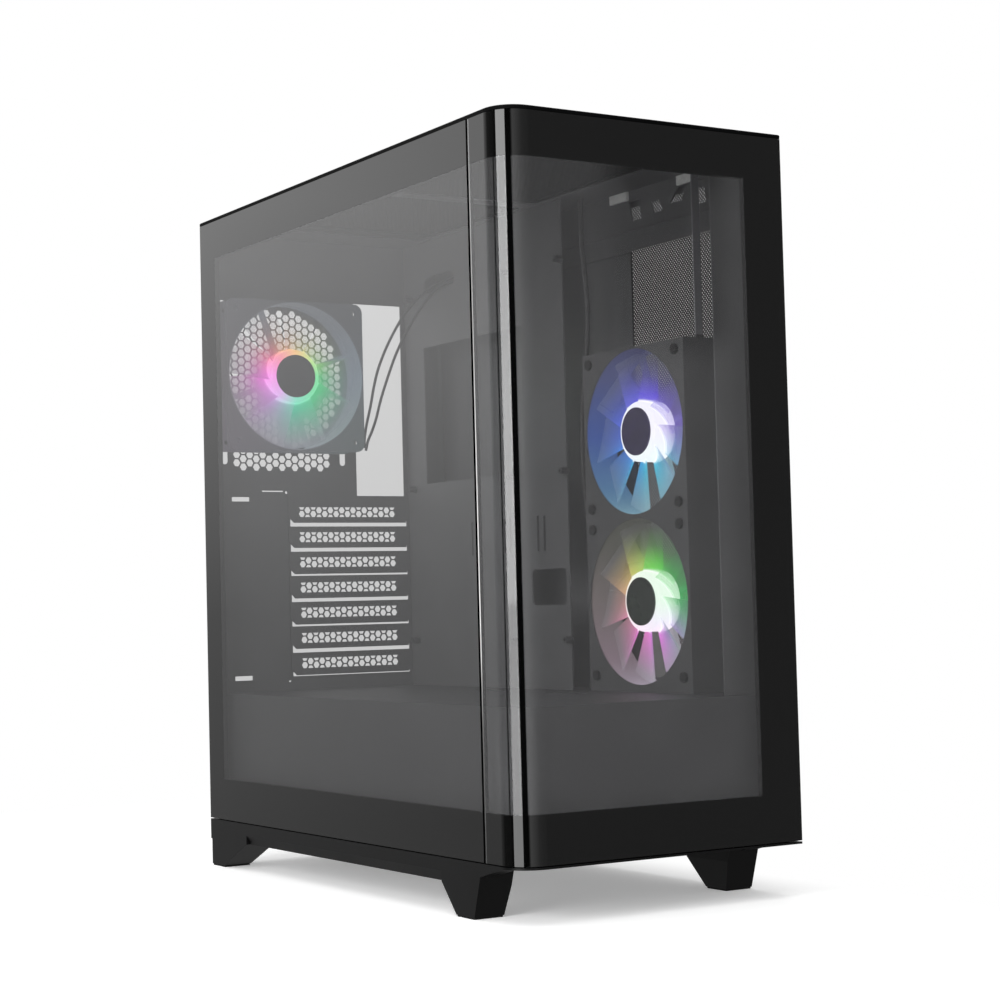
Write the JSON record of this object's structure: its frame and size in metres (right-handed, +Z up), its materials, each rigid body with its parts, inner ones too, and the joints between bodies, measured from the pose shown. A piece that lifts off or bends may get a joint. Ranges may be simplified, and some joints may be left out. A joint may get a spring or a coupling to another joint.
{
  "type": "desktop computer tower",
  "caption": "Black computer tower with a bent glass front, a glass side, a steel side, spinning fans, lift-off filters and an open rear panel with slots.",
  "frame": {"origin": "on the floor, under the middle of the whole outline", "axes": "+X to the steel side, +Y to the rear, +Z up; the glass side faces -X and the glass front -Y"},
  "size_m": [0.22, 0.4606, 0.5068],
  "materials": {
    "steel_black": "matte black powder coat",
    "steel_panel": "satin black powder coat",
    "glass_smoked": "smoked tempered glass with a dark printed border",
    "plastic_black": "fine matte moulded plastic",
    "plastic_gloss": "gloss moulded plastic",
    "rubber_black": "matte rubber",
    "blade_frosted": "frosted translucent plastic, lit from the hub",
    "mesh_black": "fine black perforated sheet",
    "screw_black": "black zinc",
    "clip_pale": "pale moulded plastic",
    "standoff_black": "black coated steel",
    "port_steel": "plated steel shell",
    "board_green": "circuit board",
    "cable_black": "soft black sleeve",
    "motor_dark": "wound coil and light ring"
  },
  "bodies": {
    "chassis": {"base_skirt": "plastic_black", "foot_front_left": "plastic_black", "foot_front_right": "plastic_black", "foot_rear_left": "plastic_black", "foot_rear_right": "plastic_black", "top_cover": "plastic_black", "control_bracket": "plastic_black", "filter_runners": "plastic_black", "drive_sleds": "plastic_black", "audio_jack": "plastic_black", "button_switches": "plastic_black", "foot_pads": "rubber_black", "base_pan": "steel_black", "rear_panel": "steel_black", "rear_vent": "steel_black", "slot_covers": "steel_black", "slot_clamp": "steel_black", "board_tray": "steel_black", "top_frame": "steel_black", "left_rails": "steel_black", "front_rails": "steel_black", "right_rail": "steel_black", "front_pillar": "steel_black", "psu_shroud": "steel_black", "fan_bracket": "steel_black", "drive_cage": "steel_black", "standoffs": "standoff_black", "rear_fan_frame": "plastic_black", "upper_fan_frame": "plastic_black", "lower_fan_frame": "plastic_black", "fan_motors": "motor_dark", "fan_screws": "screw_black", "rail_clips": "clip_pale", "control_board": "board_green", "usb_ports": "port_steel", "usb_c_port": "port_steel", "rear_fan_leads": "cable_black", "control_cable": "cable_black"},
    "side_glass_panel": {"side_glass": "glass_smoked", "side_glass_strips": "steel_black", "side_glass_studs": "screw_black"},
    "front_glass_panel": {"front_glass": "glass_smoked", "front_glass_strips": "steel_black", "front_glass_studs": "screw_black"},
    "steel_side_panel": {"right_panel": "steel_panel", "side_mesh": "mesh_black", "panel_thumbscrews": "screw_black"},
    "top_filter": {"top_filter_frame": "plastic_black", "top_filter_mesh": "mesh_black"},
    "psu_filter": {"psu_filter_frame": "plastic_black", "psu_filter_mesh": "mesh_black"},
    "power_button_cap": {"power_button": "plastic_black"},
    "reset_button_cap": {"reset_button": "plastic_black"},
    "rear_fan_rotor": {"rear_fan_impeller": "blade_frosted", "rear_fan_hub_cap": "plastic_gloss"},
    "upper_fan_rotor": {"upper_fan_impeller": "blade_frosted", "upper_fan_hub_cap": "plastic_gloss"},
    "lower_fan_rotor": {"lower_fan_impeller": "blade_frosted", "lower_fan_hub_cap": "plastic_gloss"}
  },
  "joints": [
    {"name": "rear_fan_spin", "type": "hinge", "parent": "chassis", "child": "rear_fan_rotor", "pos_m": [-0.0409, 0.20875, 0.3838], "axis": [0, -1, 0], "continuous": true},
    {"name": "upper_fan_spin", "type": "hinge", "parent": "chassis", "child": "upper_fan_rotor", "pos_m": [0.086, -0.10385, 0.3167], "axis": [-1, 0, 0], "continuous": true},
    {"name": "lower_fan_spin", "type": "hinge", "parent": "chassis", "child": "lower_fan_rotor", "pos_m": [0.086, -0.10385, 0.1967], "axis": [-1, 0, 0], "continuous": true},
    {"name": "side_glass_pull", "type": "slide", "parent": "chassis", "child": "side_glass_panel", "axis": [-1, 0, 0], "range_m": [0, 0.25]},
    {"name": "front_glass_pull", "type": "slide", "parent": "chassis", "child": "front_glass_panel", "axis": [0, -1, 0], "range_m": [0, 0.25]},
    {"name": "steel_panel_slide", "type": "slide", "parent": "chassis", "child": "steel_side_panel", "axis": [0, 1, 0], "range_m": [0, 0.02]},
    {"name": "top_filter_lift", "type": "slide", "parent": "chassis", "child": "top_filter", "axis": [0, 0, 1], "range_m": [0, 0.06]},
    {"name": "psu_filter_slide", "type": "slide", "parent": "chassis", "child": "psu_filter", "axis": [0, 1, 0], "range_m": [0, 0.165]},
    {"name": "power_button_press", "type": "slide", "parent": "chassis", "child": "power_button_cap", "axis": [0, 0, -1], "range_m": [0, 0.0012], "stiffness_N_per_m": 400, "springref_m": -0.0005},
    {"name": "reset_button_press", "type": "slide", "parent": "chassis", "child": "reset_button_cap", "axis": [0, 0, -1], "range_m": [0, 0.0012], "stiffness_N_per_m": 400, "springref_m": -0.0005}
  ]
}
